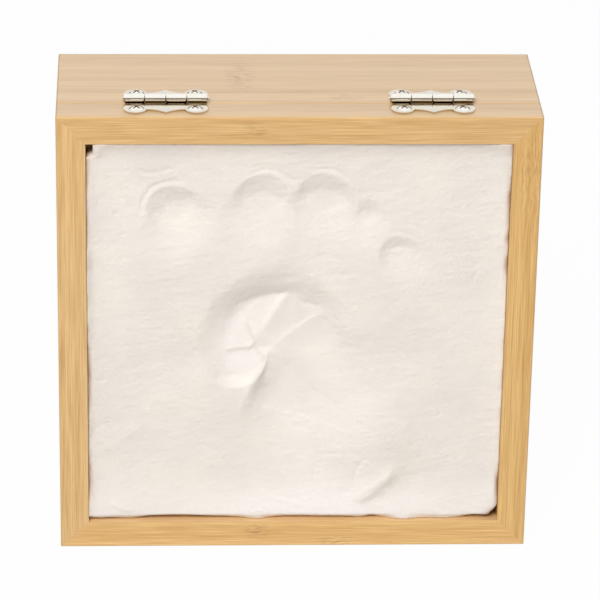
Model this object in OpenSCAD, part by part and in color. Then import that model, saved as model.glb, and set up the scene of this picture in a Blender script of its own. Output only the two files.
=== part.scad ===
// Plaster imprint keepsake box: a square bamboo box that stands on edge. Its front is a shallow
// lid on two hinges, a mitred frame that holds a slab of plaster with the print of a small foot.
// Millimetres. +Z is up, the lid faces -Y, and the origin is the middle of the bottom face.

/* [Box] */
// Outer width of the box
box_w = 165; // [150:1:220]
// Outer height of the box
box_h = 165; // [150:1:220]
// Depth of the body behind the lid
body_d = 45.8; // [30:0.2:80]
// Depth of the lid
lid_d = 12.5; // [12:0.1:18]
// Thickness of the boards
wall = 10; // [9:0.5:14]
// Gap between the shut lid and the body
seam_gap = 0.2; // [0.1:0.05:0.4]
// Rounding of the outer edges
edge_r = 0.7; // [0.5:0.1:3]
// Rounding of the edges along the seam
seam_r = 0.4; // [0.2:0.1:0.8]

/* [Panels] */
// Thickness of the back panel
back_t = 4; // [3:0.5:6]
// Thickness of the panel behind the plaster
backing_t = 3; // [2:0.5:4]
// How far the panels' rebates reach into the boards
rebate_w = 4; // [2.5:0.5:5]
// Clearance round a panel in its rebate
panel_fit = 0.15; // [0.05:0.05:0.4]

/* [Plaster] */
// Thickness of the slab
plaster_t = 7.3; // [5:0.1:8.5]
// Gap between the slab and the rails round it
plaster_gap = 0.2; // [0.1:0.1:2]
// How far the slab's face falls away at its sides and top
lip_drop = 0.9; // [0.4:0.1:2]
// How far the slab's wavy lower edge lies behind its face
foot_drop = 1.5; // [0.5:0.1:2]
// How far the slab's broken corners are drawn in
corner_loss = 2.5; // [0.5:0.1:4]
// Depth of the print at the ball of the foot
ball_depth = 3.5; // [1:0.1:4]
// Depth of the deepest toe
toe_depth = 2.3; // [1:0.1:3]
// Height of the low swell beside the sole
sole_h = 1.4; // [0.2:0.1:1.8]
// Height of the fold across the ball
fold_h = 1.1; // [0.3:0.1:1.6]
// Height of the lump of plaster pushed up at the heel
lump_h = 1.2; // [0.5:0.1:1.5]

/* [Hinges] */
// Distance of a hinge's middle from the side of the box
hinge_inset = 37.2; // [20:0.2:60]
// Length of a hinge along its barrel
hinge_l = 28.6; // [26:0.2:34]
// Thickness of a leaf
leaf_t = 0.7; // [0.5:0.05:0.9]
// Radius of the round lobes at a leaf's ends
lobe_r = 4; // [3.2:0.1:4.4]
// Distance of a lobe's middle from the pin
lobe_reach = 6.4; // [5.5:0.1:7]
// Reach of a leaf's straight part from the pin
web_reach = 7.4; // [5.5:0.1:8]
// Reach of the pointed tip in the middle of a leaf
tip_reach = 10; // [8.5:0.1:11]
// How far the straight ends of a leaf stand back from its lobes
strip_inset = 0.6; // [0.2:0.1:1.5]
// Radius of the barrel
knuckle_r = 1.55; // [1.4:0.05:1.8]
// Gap under the free end of a knuckle's curl
curl_gap = 0.35; // [0.2:0.05:0.5]
// Rounding of the corners of that end
curl_r = 1; // [0.4:0.1:1.5]
// Radius of the pin
pin_r = 0.75; // [0.4:0.05:0.85]
// Length of the pin's rounded end beyond the barrel
pin_end = 0.4; // [0.3:0.1:1]
// Rounding of the pin's ends
pin_round = 0.3; // [0.1:0.05:0.35]
// Running clearance between the pin and the front leaf
pin_run = 0.05; // [0.02:0.01:0.1]
// Clearance between the pin and the rear leaf that grips it
pin_grip = 0.02; // [0.01:0.01:0.03]
// Gap between a knuckle and whatever moves past it
knuckle_gap = 0.3; // [0.2:0.05:0.5]
// Gap between the barrel and the wood
barrel_lift = 0.2; // [0.1:0.05:0.4]

/* [Screws] */
// Distance of a screw from the middle of its hinge
screw_offset = 9.9; // [9:0.1:11]
// Distance of a screw from the pin
screw_reach = 7; // [6.5:0.1:7.5]
// Radius of a screw's head
head_r = 2.6; // [1.6:0.05:2.8]
// Height of a screw's head
head_h = 0.85; // [0.6:0.05:0.95]
// Radius of a screw's shank
shank_r = 0.9; // [0.7:0.05:1.2]
// Length of a screw under its head
screw_l = 7; // [5:0.5:8]
// Length of the arms of the cross in a screw's head
cross_l = 3; // [1.4:0.1:3.6]
// Width of the arms of the cross
cross_w = 0.55; // [0.3:0.05:0.7]
// Depth of the cross
cross_depth = 0.5; // [0.3:0.05:0.55]
// Radius of a screw's blunt point
tip_r = 0.1; // [0.05:0.05:0.3]
// Clearance between a screw and its hole
screw_fit = 0.04; // [0.02:0.01:0.1]

/* [Magnets] */
// Distance of a magnet from the side of the box
magnet_inset = 32.5; // [20:0.5:70]
// Radius of a magnet
magnet_r = 2; // [1:0.1:2.2]
// Thickness of a magnet
magnet_t = 3; // [2:0.5:5]
// Clearance round a magnet in its hole
magnet_fit = 0.05; // [0.02:0.01:0.1]

/* [Hidden] */

$fn = 48;
over = 1;            // how far a cut runs past the surface that it cuts

BAMBOO = "burlywood";
PANEL = "wheat";
PLASTER = "linen";
NICKEL = "silver";
MAGNET = "dimgray";

// Places along the depth
front_y = -(body_d + seam_gap + lid_d) / 2;
lid_back_y = front_y + lid_d;
body_front_y = lid_back_y + seam_gap;
back_y = body_front_y + body_d;
hinge_y = (lid_back_y + body_front_y) / 2;

// The opening inside the boards
open_w = box_w - 2 * wall;
open_h = box_h - 2 * wall;

// The hinges' and magnets' places from the middle of the box
hinge_x = box_w / 2 - hinge_inset;
magnet_x = box_w / 2 - magnet_inset;

// The hinge pin's height above the wood, and the length of one of the four knuckles
pin_z = knuckle_r + barrel_lift;
knuckle_l = hinge_l / 4;
head_sphere_r = (head_r * head_r + head_h * head_h) / (2 * head_h);
point_l = 2 * shank_r;

// The slab's plane: its middle, its size and the height of its face
slab_w = open_w - 2 * plaster_gap;
slab_h = open_h - 2 * plaster_gap;
slab_back_y = lid_back_y - backing_t;
grid_n = 60;
lip_w = 3;
foot_round = 4;
corner_w = 5;

// The print, in millimetres from the slab's middle. Each toe is [x, z, radius, wall width, share of
// the toes' depth, lean to the left, run], where the run is how far its floor climbs out below it
TOES = [
    [-42, 46.4, 10.2, 8, 1, 20, 18],
    [-11.8, 50, 10.4, 8.5, 1, 6, 20],
    [8.8, 50, 10.6, 8.5, 1, 5, 17],
    [24, 43.6, 9, 7.5, 0.5, 26, 13],
    [33.6, 31.4, 5.8, 4.6, 0.75, 38, 13]
];
// The ball's middle, radius and wall. Its pad climbs out of it by a share of its depth a millimetre,
// and is level with the face again some way past the fold.
BALL = [-7, -3];
BALL_R = 27.5;
BALL_WALL = 10;
PAD_LOW_Z = -20;
PAD_LOW = 0.15;
PAD_CLIMB = 0.03;
PAD_FADE = 26;
// The fold across the pad and the lump at the heel: the face climbs towards the line and drops past it
FOLD = [[10, 8.4], [4.8, 5], [-2.4, -1], [-9.2, -7.6], [-14, -15.6], [-17.2, -23.4], [-19.2, -29.5]];
FOLD_CLIMB = 3;
FOLD_FALL = 2.4;
LUMP = [[36.6, -51.8], [34.6, -55.8], [30.2, -59.6], [22.6, -65]];
LUMP_CLIMB = 6;
LUMP_FALL = 2.4;
// The swell beside the sole: where its left, right, top and foot start, and how far each takes
SOLE_LEFT = [-8, 38];
SOLE_RIGHT = [35, 12];
SOLE_TOP = [-4, 28];
SOLE_FOOT = [-72, 24];
// The waves of the slab's lower edge: [x, depth, half width]
FOOT_WAVES = [[-44, 2.6, 10], [-13.5, -2, 6], [39, -2.4, 7], [53, -1.9, 8.5], [68, 2.6, 5]];

// Boards and rails

// Corner of a square that a rounding takes away, with its point at the origin
module rounding(r) {
    difference() {
        translate([-r, -r]) square([r + over, r + over]);
        translate([-r, -r]) circle(r);
    }
}

// Mitred board with its outer face at z = 0 and its length along X, from y = 0 to the given
// depth. Its outer edges at y = 0 and at the far side have their own roundings.
module mitred_board(length, depth, near_r, far_r) {
    intersection() {
        translate([0, depth, 0]) rotate([90, 0, 0]) linear_extrude(depth) difference() {
            polygon([
                [-length / 2, 0], [length / 2, 0],
                [length / 2 - wall, -wall], [-length / 2 + wall, -wall]
            ]);
            for (side = [0, 1]) mirror([side, 0]) translate([length / 2, 0]) rounding(edge_r);
        }
        translate([-length / 2, 0, 0]) rotate([90, 0, 90]) linear_extrude(length) difference() {
            translate([0, -wall]) square([depth, wall]);
            translate([depth, 0]) rounding(far_r);
            mirror([1, 0]) rounding(near_r);
        }
    }
}

// Puts a board that is drawn face up on one of the four sides of the box
module on_top() { translate([0, 0, box_h]) children(); }
module on_bottom() { rotate([0, 180, 0]) children(); }
module on_left() { translate([-box_w / 2, 0, box_h / 2]) rotate([0, -90, 0]) children(); }
module on_right() { translate([box_w / 2, 0, box_h / 2]) rotate([0, 90, 0]) children(); }

// Board of the body, rebated along its back for the back panel
module body_board(length) {
    translate([0, body_front_y, 0]) difference() {
        mitred_board(length, body_d, seam_r, edge_r);
        translate([-length / 2, body_d - back_t, -wall - over])
            cube([length, back_t + over, rebate_w + over]);
    }
}

// Rail of the lid, rebated along its back for the backing panel
module lid_rail(length) {
    translate([0, front_y, 0]) difference() {
        mitred_board(length, lid_d, edge_r, seam_r);
        translate([-length / 2, lid_d - backing_t, -wall - over])
            cube([length, backing_t + over, rebate_w + over]);
    }
}

module body_top_board() {
    color(BAMBOO) difference() {
        on_top() body_board(box_w);
        screw_holes(1);
    }
}

module body_bottom_board() {
    color(BAMBOO) difference() {
        on_bottom() body_board(box_w);
        magnets(body_front_y + magnet_t, -1, magnet_t + over, magnet_r + magnet_fit);
    }
}

module body_left_board() { color(BAMBOO) on_left() body_board(box_h); }

module body_right_board() { color(BAMBOO) on_right() body_board(box_h); }

module lid_top_rail() {
    color(BAMBOO) difference() {
        on_top() lid_rail(box_w);
        screw_holes(-1);
    }
}

module lid_bottom_rail() {
    color(BAMBOO) difference() {
        on_bottom() lid_rail(box_w);
        magnets(lid_back_y - magnet_t, 1, magnet_t + over, magnet_r + magnet_fit);
    }
}

module lid_left_rail() { color(BAMBOO) on_left() lid_rail(box_h); }

module lid_right_rail() { color(BAMBOO) on_right() lid_rail(box_h); }

// Panels

// Panel that fills the rebates, between two depths
module rebated_panel(from_y, thickness) {
    w = open_w + 2 * (rebate_w - panel_fit);
    h = open_h + 2 * (rebate_w - panel_fit);
    translate([-w / 2, from_y, box_h / 2 - h / 2]) cube([w, thickness, h]);
}

module back_panel() { color(PANEL) rebated_panel(back_y - back_t, back_t); }

module lid_backing_panel() { color(PANEL) rebated_panel(slab_back_y, backing_t); }

// Plaster slab

// Step from 0 to 1 with level ends
function smooth(t) = let (c = min(max(t, 0), 1)) c * c * (3 - 2 * c);

// Bell from 1 at 0 down to nothing
function bell(t) = exp(-t * t);

// Depth of a toe: round and steep at its tip, open below, where its floor climbs out
function toe_at(p, toe) =
    let (q = p - [toe[0], toe[1]], r = toe[2], wall_w = toe[3], lean = toe[5], run = toe[6])
    let (tip = q.y * cos(lean) - q.x * sin(lean), side = q.x * cos(lean) + q.y * sin(lean))
    let (inside = min(max(r - norm([side, max(tip, 0)]), 0), wall_w))
    let (climb = smooth((r - wall_w - tip) / (run + r - wall_w)))
    toe_depth * toe[4] * (1 - pow(1 - inside / wall_w, 2)) * (1 - climb);

function toes_at(p) = max([for (toe = TOES) toe_at(p, toe)]);

// Distance from a point to the stretch from a to b, positive on the left of one who walks along it
function beside_stretch(p, a, b) =
    let (u = (b - a) / norm(b - a), q = p - a)
    let (along = min(max(q * u, 0), norm(b - a)))
    norm(q - along * u) * (u.x * q.y > u.y * q.x ? 1 : -1);

// The same for a bent line
function beside(p, line) =
    let (all = [for (i = [0:len(line) - 2]) beside_stretch(p, line[i], line[i + 1])])
    let (least = min([for (d = all) abs(d)]))
    [for (d = all) if (abs(d) == least) d][0];

// Share of a line's height that is left towards its ends
function toward_ends(p, line) =
    let (from = line[0], to = line[len(line) - 1])
    smooth(3 * (1.1 - 2 * norm(p - (from + to) / 2) / norm(to - from)));

// Step in the face along a line, from 0 to 1: it climbs towards the line and drops past it
function step_at(p, line, climb, fall) =
    let (d = beside(p, line))
    toward_ends(p, line) * (d < 0 ? exp(d / climb) : bell(d / fall));

// Depth of the ball: its round wall, or its pad where that is shallower
function ball_at(p) =
    let (wall_share = pow(min(max((BALL_R - norm(p - BALL)) / BALL_WALL, 0), 1), 1.5))
    let (pad_share = PAD_LOW + PAD_CLIMB * max(p.y - PAD_LOW_Z, 0))
    let (left_of_fold = 1 - smooth(beside(p, FOLD) / PAD_FADE))
    ball_depth * min(wall_share, pad_share * left_of_fold);

function sole_at(p) =
    sole_h
    * smooth((p.x - SOLE_LEFT[0]) / SOLE_LEFT[1]) * (1 - smooth((p.x - SOLE_RIGHT[0]) / SOLE_RIGHT[1]))
    * smooth((SOLE_TOP[0] - p.y) / SOLE_TOP[1]) * smooth((p.y - SOLE_FOOT[0]) / SOLE_FOOT[1]);

// How far the face falls away near the slab's sides and top, and at its wavy lower edge
function lip_at(p) =
    let (inside = min(slab_w / 2 - abs(p.x), slab_h / 2 - p.y))
    lip_drop * (1 - smooth(inside / lip_w));

function foot_at(p) =
    let (waves = [for (w = FOOT_WAVES) w[1] * bell((p.x - w[0]) / w[2])])
    (foot_drop + waves * [for (w = waves) 1]) * (1 - smooth((p.y + slab_h / 2) / foot_round));

function face_depth(p) =
    lip_at(p) + foot_at(p) + max(toes_at(p), ball_at(p)) - sole_at(p)
    - fold_h * step_at(p, FOLD, FOLD_CLIMB, FOLD_FALL)
    - lump_h * step_at(p, LUMP, LUMP_CLIMB, LUMP_FALL);

// Two corners of the slab broke as it was pressed in, and are drawn in towards its middle
function corner_pull(p, corner) = corner_loss * bell(norm(p - corner) / corner_w);

function outline(p) =
    let (a = [-slab_w / 2, slab_h / 2])
    let (b = [slab_w / 2, -slab_h / 2])
    p + (corner_pull(p, a) - corner_pull(p, b)) * [1, -1];

function grid_at(i, j) = [slab_w * (i / grid_n - 0.5), slab_h * (j / grid_n - 0.5)];

function grid_index(i, j) = j * (grid_n + 1) + i;

// The slab's rim, once round, as places on the grid
RIM = concat(
    [for (i = [0:grid_n - 1]) [i, 0]],
    [for (j = [0:grid_n - 1]) [grid_n, j]],
    [for (i = [grid_n:-1:1]) [i, grid_n]],
    [for (j = [grid_n:-1:1]) [0, j]]
);

module plaster_imprint() {
    face_points = [
        for (j = [0:grid_n]) for (i = [0:grid_n])
            let (p = grid_at(i, j))
            let (o = outline(p))
            [o.x, face_depth(p) - plaster_t, o.y]
    ];
    back_points = [for (r = RIM) let (o = outline(grid_at(r[0], r[1]))) [o.x, 0, o.y]];
    rim_n = len(RIM);
    first_back = len(face_points);
    middle = first_back + rim_n;
    face_faces = [
        for (j = [0:grid_n - 1]) for (i = [0:grid_n - 1])
            let (a = grid_index(i, j), b = grid_index(i + 1, j))
            let (c = grid_index(i + 1, j + 1), d = grid_index(i, j + 1))
            each [[a, c, b], [a, d, c]]
    ];
    side_faces = [
        for (k = [0:rim_n - 1])
            let (next = (k + 1) % rim_n)
            let (a = grid_index(RIM[k][0], RIM[k][1]), b = grid_index(RIM[next][0], RIM[next][1]))
            each [[a, b, first_back + next], [a, first_back + next, first_back + k]]
    ];
    back_faces = [
        for (k = [0:rim_n - 1]) [first_back + k, first_back + (k + 1) % rim_n, middle]
    ];
    color(PLASTER) translate([0, slab_back_y, box_h / 2]) polyhedron(
        concat(face_points, back_points, [[0, 0, 0]]),
        concat(face_faces, side_faces, back_faces)
    );
}

// Hinges: u runs along the barrel and v away from it

// Reach of a leaf's edge between its lobes, which rises to a point in the middle
function web_edge(u) = web_reach + (tip_reach - web_reach) * pow(1 - abs(u) / web_half(), 2);

function web_half() = hinge_l / 2 - 2 * lobe_r;

module leaf_outline() {
    lobe_u = hinge_l / 2 - lobe_r;
    strip_u = hinge_l / 2 - strip_inset;
    steps = 12;
    for (side = [-1, 1]) translate([side * lobe_u, lobe_reach]) circle(lobe_r);
    translate([-strip_u, 0]) square([2 * strip_u, lobe_reach]);
    polygon(concat(
        [[lobe_u, 0], [lobe_u, web_reach]],
        [for (k = [steps:-1:-steps]) let (u = k / steps * web_half()) [u, web_edge(u)]],
        [[-lobe_u, web_reach], [-lobe_u, 0]]
    ));
}

// Start of each of the four knuckles along the barrel
function knuckle_at(k) = -hinge_l / 2 + k * knuckle_l;

// Knuckle from u = 0: the sheet curls under the pin, up behind it and over it, and its end with
// rounded corners comes down to just above its own leaf
module knuckle(length) {
    reach = knuckle_r + over;
    difference() {
        translate([0, 0, pin_z]) rotate([0, 90, 0]) cylinder(r = knuckle_r, h = length);
        translate([-over, 0, leaf_t]) cube([length + 2 * over, reach, curl_gap]);
        for (end = [0, 1]) translate([end * length, 0, leaf_t + curl_gap]) rotate([90, 0, 0])
            mirror([1 - end, 0, 0]) mirror([0, 1, 0]) translate([0, 0, -reach])
                linear_extrude(reach) rounding(curl_r);
    }
}

// Leaf that lies on the wood with its plate towards +v. Every other knuckle is its own, from the
// first one given, and its plate leaves room for the others.
module leaf(first, bore_r) {
    difference() {
        union() {
            linear_extrude(leaf_t) difference() {
                leaf_outline();
                for (k = [1 - first:2:3]) translate([knuckle_at(k) - knuckle_gap / 2, -over])
                    square([knuckle_l + knuckle_gap, over + knuckle_r + knuckle_gap]);
                for (side = [-1, 1]) translate([side * screw_offset, screw_reach])
                    circle(shank_r + screw_fit);
            }
            for (k = [first:2:3]) translate([knuckle_at(k) + knuckle_gap / 2, 0, 0])
                knuckle(knuckle_l - knuckle_gap);
        }
        translate([-hinge_l / 2 - over, 0, pin_z])
            rotate([0, 90, 0]) cylinder(r = bore_r, h = hinge_l + 2 * over);
    }
}

// Puts a hinge's parts on the top of the box, on the given side
module at_hinge(side) { translate([side * hinge_x, hinge_y, box_h]) children(); }

// The rear leaf grips the pin, and the front leaf turns on it
module rear_leaf(side) { color(NICKEL) at_hinge(side) leaf(1, pin_r + pin_grip); }

module front_leaf(side) { color(NICKEL) at_hinge(side) mirror([0, 1, 0]) leaf(0, pin_r + pin_run); }

module hinge_pin(side) {
    color(NICKEL) at_hinge(side) translate([-hinge_l / 2 - pin_end, 0, pin_z]) rotate([90, 0, 90])
        rotate_extrude() difference() {
            square([pin_r, hinge_l + 2 * pin_end]);
            for (end = [0, 1]) translate([0, end * (hinge_l + 2 * pin_end)]) mirror([0, 1 - end])
                translate([pin_r, 0]) rounding(pin_round);
        }
}

module left_hinge_rear_leaf() { rear_leaf(-1); }
module left_hinge_front_leaf() { front_leaf(-1); }
module left_hinge_pin() { hinge_pin(-1); }
module right_hinge_rear_leaf() { rear_leaf(1); }
module right_hinge_front_leaf() { front_leaf(1); }
module right_hinge_pin() { hinge_pin(1); }

// Screws

// Repeats a part at the four screws of the rear leaves (back = 1) or of the front leaves (back = -1)
module at_screws(back) {
    for (side = [-1, 1]) for (end = [-1, 1])
        translate([side * hinge_x + end * screw_offset, hinge_y + back * screw_reach, box_h])
            children();
}

module screw_holes(back) {
    at_screws(back) translate([0, 0, leaf_t - screw_l]) cylinder(r = shank_r + screw_fit, h = screw_l);
}

// Round-head wood screw with a cross recess, seated on the leaf
module screw() {
    difference() {
        intersection() {
            translate([0, 0, leaf_t]) cylinder(r = head_r, h = head_h);
            translate([0, 0, leaf_t + head_h - head_sphere_r]) sphere(head_sphere_r);
        }
        for (turn = [45, 135]) rotate([0, 0, turn])
            translate([-cross_l / 2, -cross_w / 2, leaf_t + head_h - cross_depth])
                cube([cross_l, cross_w, cross_depth + over]);
    }
    translate([0, 0, leaf_t - screw_l + point_l]) cylinder(r = shank_r, h = screw_l - point_l);
    translate([0, 0, leaf_t - screw_l]) cylinder(r1 = tip_r, r2 = shank_r, h = point_l);
}

module body_hinge_screws() { color(NICKEL) at_screws(1) screw(); }

module lid_hinge_screws() { color(NICKEL) at_screws(-1) screw(); }

// Magnets in the edges that meet below

// The pair that starts at a depth and runs forward (-1) or back (1)
module magnets(from_y, way, length, r) {
    land = wall - rebate_w;
    for (side = [-1, 1]) translate([side * magnet_x, from_y, land / 2])
        rotate([-90 * way, 0, 0]) cylinder(r = r, h = length);
}

module body_magnets() { color(MAGNET) magnets(body_front_y + magnet_t, -1, magnet_t, magnet_r); }

module lid_magnets() { color(MAGNET) magnets(lid_back_y - magnet_t, 1, magnet_t, magnet_r); }

body_top_board();
body_bottom_board();
body_left_board();
body_right_board();
back_panel();
lid_top_rail();
lid_bottom_rail();
lid_left_rail();
lid_right_rail();
lid_backing_panel();
plaster_imprint();
left_hinge_rear_leaf();
left_hinge_front_leaf();
left_hinge_pin();
right_hinge_rear_leaf();
right_hinge_front_leaf();
right_hinge_pin();
body_hinge_screws();
lid_hinge_screws();
body_magnets();
lid_magnets();
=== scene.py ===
"""Looks of a plaster imprint keepsake box: bamboo boards and rails, a cast plaster slab, nickel hinges."""
import math

import bpy
import numpy as np
from mathutils import Matrix, Vector, noise


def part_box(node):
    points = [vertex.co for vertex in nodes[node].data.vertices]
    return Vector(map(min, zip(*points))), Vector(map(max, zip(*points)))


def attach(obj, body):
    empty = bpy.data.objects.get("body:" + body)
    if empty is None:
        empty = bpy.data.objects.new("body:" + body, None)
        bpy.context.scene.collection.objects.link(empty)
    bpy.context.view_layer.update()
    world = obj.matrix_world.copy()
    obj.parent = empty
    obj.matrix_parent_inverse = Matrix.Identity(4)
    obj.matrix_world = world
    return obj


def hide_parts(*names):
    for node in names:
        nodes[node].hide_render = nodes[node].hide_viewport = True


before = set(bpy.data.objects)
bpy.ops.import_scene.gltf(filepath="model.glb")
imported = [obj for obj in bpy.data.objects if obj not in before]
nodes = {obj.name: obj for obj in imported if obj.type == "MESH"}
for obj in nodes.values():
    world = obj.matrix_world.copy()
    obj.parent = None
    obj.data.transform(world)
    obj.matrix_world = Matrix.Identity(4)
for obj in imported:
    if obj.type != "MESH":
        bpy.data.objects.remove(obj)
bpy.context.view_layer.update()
scene = bpy.context.scene
MM = 0.001
WHITE = (1.0, 1.0, 1.0, 1.0)


# Node trees
class Tree:
    """A node tree, with short ways to add nodes and join them."""

    def __init__(self, tree):
        self.tree = tree

    def add(self, kind, inputs=None, **settings):
        """New node: settings are its properties, inputs are values or sockets by name or number."""
        node = self.tree.nodes.new(kind)
        for key, value in settings.items():
            setattr(node, key, value)
        self.fill(node, inputs or {})
        return node

    def fill(self, node, inputs):
        """Sets a node's inputs: a socket is joined to it, any other value is written into it."""
        for key, value in inputs.items():
            if isinstance(value, bpy.types.NodeSocket):
                self.tree.links.new(value, node.inputs[key])
            else:
                node.inputs[key].default_value = value

    def maths(self, operation, first, second=0.0):
        node = self.add("ShaderNodeMath", {0: first, 1: second}, operation=operation)
        return node.outputs[0]

    def times(self, first, second):
        return self.maths("MULTIPLY", first, second)

    def vector(self, operation, first, second=(0.0, 0.0, 0.0), third=(0.0, 0.0, 0.0)):
        node = self.add("ShaderNodeVectorMath", {0: first, 1: second, 2: third}, operation=operation)
        return node.outputs["Value" if operation == "LENGTH" else "Vector"]

    def split(self, vector):
        return self.add("ShaderNodeSeparateXYZ", {0: vector}).outputs

    def noise(self, vector, scale=1.0, detail=2.0, rough=0.5):
        inputs = {"Vector": vector, "Scale": scale, "Detail": detail, "Roughness": rough}
        return self.add("ShaderNodeTexNoise", inputs).outputs["Fac"]

    def spread(self, value, low, high, to_low=0.0, to_high=1.0):
        """Maps a value from one range to another, and holds it at the ends."""
        return self.add("ShaderNodeMapRange", {0: value, 1: low, 2: high, 3: to_low, 4: to_high}).outputs[0]

    def near(self, place, centre, reach, fade, most):
        """Grows towards a centre in millimetres; fade says from where to where, in shares of its reach."""
        away = self.vector("SUBTRACT", place, metres(centre))
        distance = self.vector("LENGTH", self.vector("DIVIDE", away, metres(reach)))
        return self.spread(distance, *fade, 0.0, most)

    def mix(self, share, first, second):
        node = self.add("ShaderNodeMix", data_type="RGBA")
        self.fill(node, {0: share, 6: first, 7: second})
        return node.outputs[2]

    def bump(self, height, distance, strength, normal=None):
        node = self.add("ShaderNodeBump", {"Height": height, "Distance": distance, "Strength": strength})
        if normal:
            self.fill(node, {"Normal": normal})
        return node.outputs["Normal"]

    def place(self):
        return self.add("ShaderNodeTexCoord").outputs["Object"]

    def normal(self):
        return self.add("ShaderNodeNewGeometry").outputs["Normal"]

    def attribute(self, name):
        return self.add("ShaderNodeAttribute", attribute_name=name).outputs["Fac"]

    def finish_surface(self, **inputs):
        """Sets the surface shader's inputs; double underscores stand for blanks."""
        shader = self.tree.nodes["Principled BSDF"]
        self.fill(shader, {key.replace("__", " "): value for key, value in inputs.items()})


def metres(lengths):
    return [MM * length for length in lengths]


def new_material(name):
    material = bpy.data.materials.new(name)
    material.use_nodes = True
    return material, Tree(material.node_tree)


def srgb(red, green, blue):
    """Linear colour of a screen colour given from 0 to 255."""
    channels = []
    for value in (red, green, blue):
        share = value / 255.0
        channels.append(share / 12.92 if share <= 0.04045 else ((share + 0.055) / 1.055) ** 2.4)
    return (*channels, 1.0)


# Range that holds most values of a noise
NOISE_RANGE = (0.3, 0.7)

# Bamboo: fibres, streaks and strips are noise stretched along the grain, in cycles a metre
WOOD_LAYERS = dict(
    fibre=dict(across=3400.0, along=50.0, share=0.58),
    streak=dict(across=700.0, along=8.0, share=0.12),
    strip=dict(across=170.0, along=1.6, share=0.30),
)
WOOD_NOISE = dict(detail=2.0, rough=0.55)
SEED_STEP = (7.3, 3.1, 5.7)
TONE_RANGE = (0.38, 0.62)
WOOD_ROUGH = (0.46, 0.38)
FIBRE_BUMP = dict(distance=0.10 * MM, strength=0.3)
# Faces that look up get a painted sheen and are paler: how far up they look, from none to all, and the least
# and greatest share
SHEEN_FACING = (0.2, 0.95)
SHEEN_SHARES = (0.24, 0.52)
# Marks of the cane's joints, made of short dashes
DASH = dict(across=1500.0, along=330.0)
DASH_RANGE = (0.46, 0.62)
MARK_FADE = (1.0, 0.2)
SWAY_FADE = (1.0, 0.3)
# Rounding of an edge in the shading alone: its radius, its reach from the edge and its start past the mitre
EASE_RADIUS = 2.2 * MM
EASE_REACH = (4.5 * MM, 2.5 * MM)
EASE_MITRE = (1.0 * MM, 3.5 * MM)
EASE_SAMPLES = 8
WOOD_PALE = srgb(229, 189, 125)
WOOD_DEEP = srgb(194, 145, 77)
WOOD_SHEEN = srgb(247, 217, 178)
LOWER_PALE = srgb(240, 198, 128)
LOWER_DEEP = srgb(206, 154, 78)
GOLD_PALE = srgb(231, 188, 114)
GOLD_DEEP = srgb(196, 143, 62)
PANEL_PALE = srgb(228, 196, 150)
PANEL_DEEP = srgb(206, 167, 114)
MARK_COLOUR = srgb(166, 114, 58)


def along_grain(tree, place, grain, offset, across, along):
    """A place that is stretched along one axis and shifted."""
    scale = [along if axis == grain else across for axis in "xyz"]
    return tree.vector("MULTIPLY_ADD", place, scale, offset)


def eased_normal(tree, place, name):
    """The surface's own normal, rounded near the top front edge and left as it is at the mitres."""
    low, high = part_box(name)
    soft = tree.add("ShaderNodeBevel", {"Radius": EASE_RADIUS}, samples=EASE_SAMPLES).outputs["Normal"]
    parts = tree.split(place)
    from_top = tree.maths("SUBTRACT", high.z, parts["Z"])
    from_front = tree.maths("SUBTRACT", parts["Y"], low.y)
    from_end = tree.maths("SUBTRACT", high.x, tree.maths("ABSOLUTE", parts["X"]))
    from_mitre = tree.maths("SUBTRACT", from_end, from_top)
    near = tree.times(tree.spread(from_top, *EASE_REACH), tree.spread(from_front, *EASE_REACH))
    near = tree.times(near, tree.spread(from_mitre, *EASE_MITRE))
    mixed = tree.add("ShaderNodeMix", {0: near, 4: tree.normal(), 5: soft}, data_type="VECTOR").outputs[1]
    return tree.vector("NORMALIZE", mixed)


def swayed(tree, place, centre, reach, scale, shift):
    """A place that is moved sideways near a spot, so that upright fibres wander there."""
    wander = tree.maths("SUBTRACT", tree.noise(place, scale, detail=1.0), 0.5)
    amount = tree.times(wander, tree.near(place, centre, reach, SWAY_FADE, shift * MM))
    return tree.vector("ADD", place, tree.add("ShaderNodeCombineXYZ", {"X": amount}).outputs[0])


def bamboo(name, grain, seed, pale=WOOD_PALE, deep=WOOD_DEEP, marks=(), eased=False, sway=None):
    """Straight bamboo with a satin lacquer; a mark has a centre, a reach and a strength."""
    material, tree = new_material(name)
    place = swayed(tree, tree.place(), **sway) if sway else tree.place()
    offset = [seed * step for step in SEED_STEP]
    tone = 0.0
    layers = {}
    for key, layer in WOOD_LAYERS.items():
        stretched = along_grain(tree, place, grain, offset, layer["across"], layer["along"])
        layers[key] = tree.noise(stretched, **WOOD_NOISE)
        tone = tree.maths("ADD", tree.times(layers[key], layer["share"]), tone)
    colour = tree.mix(tree.spread(tone, *TONE_RANGE), deep, pale)
    normal = eased_normal(tree, place, name) if eased else tree.normal()
    turn = dict(vector_type="NORMAL", convert_from="WORLD", convert_to="OBJECT")
    own_normal = tree.add("ShaderNodeVectorTransform", {0: normal}, **turn).outputs[0]
    # Painted sheen: faces that look up are mixed towards a pale colour, in strips
    looks_up = tree.spread(tree.split(own_normal)["Z"], *SHEEN_FACING)
    sheen = tree.times(looks_up, tree.spread(layers["strip"], *NOISE_RANGE, *SHEEN_SHARES))
    colour = tree.mix(sheen, colour, WOOD_SHEEN)
    dashes = tree.noise(along_grain(tree, place, grain, offset, **DASH), detail=1.0)
    for mark in marks:
        near = tree.near(place, mark["centre"], mark["reach"], MARK_FADE, mark["strength"])
        colour = tree.mix(tree.times(near, tree.spread(dashes, *DASH_RANGE)), colour, MARK_COLOUR)
    tree.finish_surface(
        Base__Color=colour,
        Roughness=tree.spread(layers["streak"], *NOISE_RANGE, *WOOD_ROUGH),
        Normal=tree.bump(layers["fibre"], normal=normal if eased else None, **FIBRE_BUMP),
        IOR=1.5,
        Coat__Weight=1.0,
        Coat__Roughness=0.30,
        Coat__IOR=1.6,
    )
    return material
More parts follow.
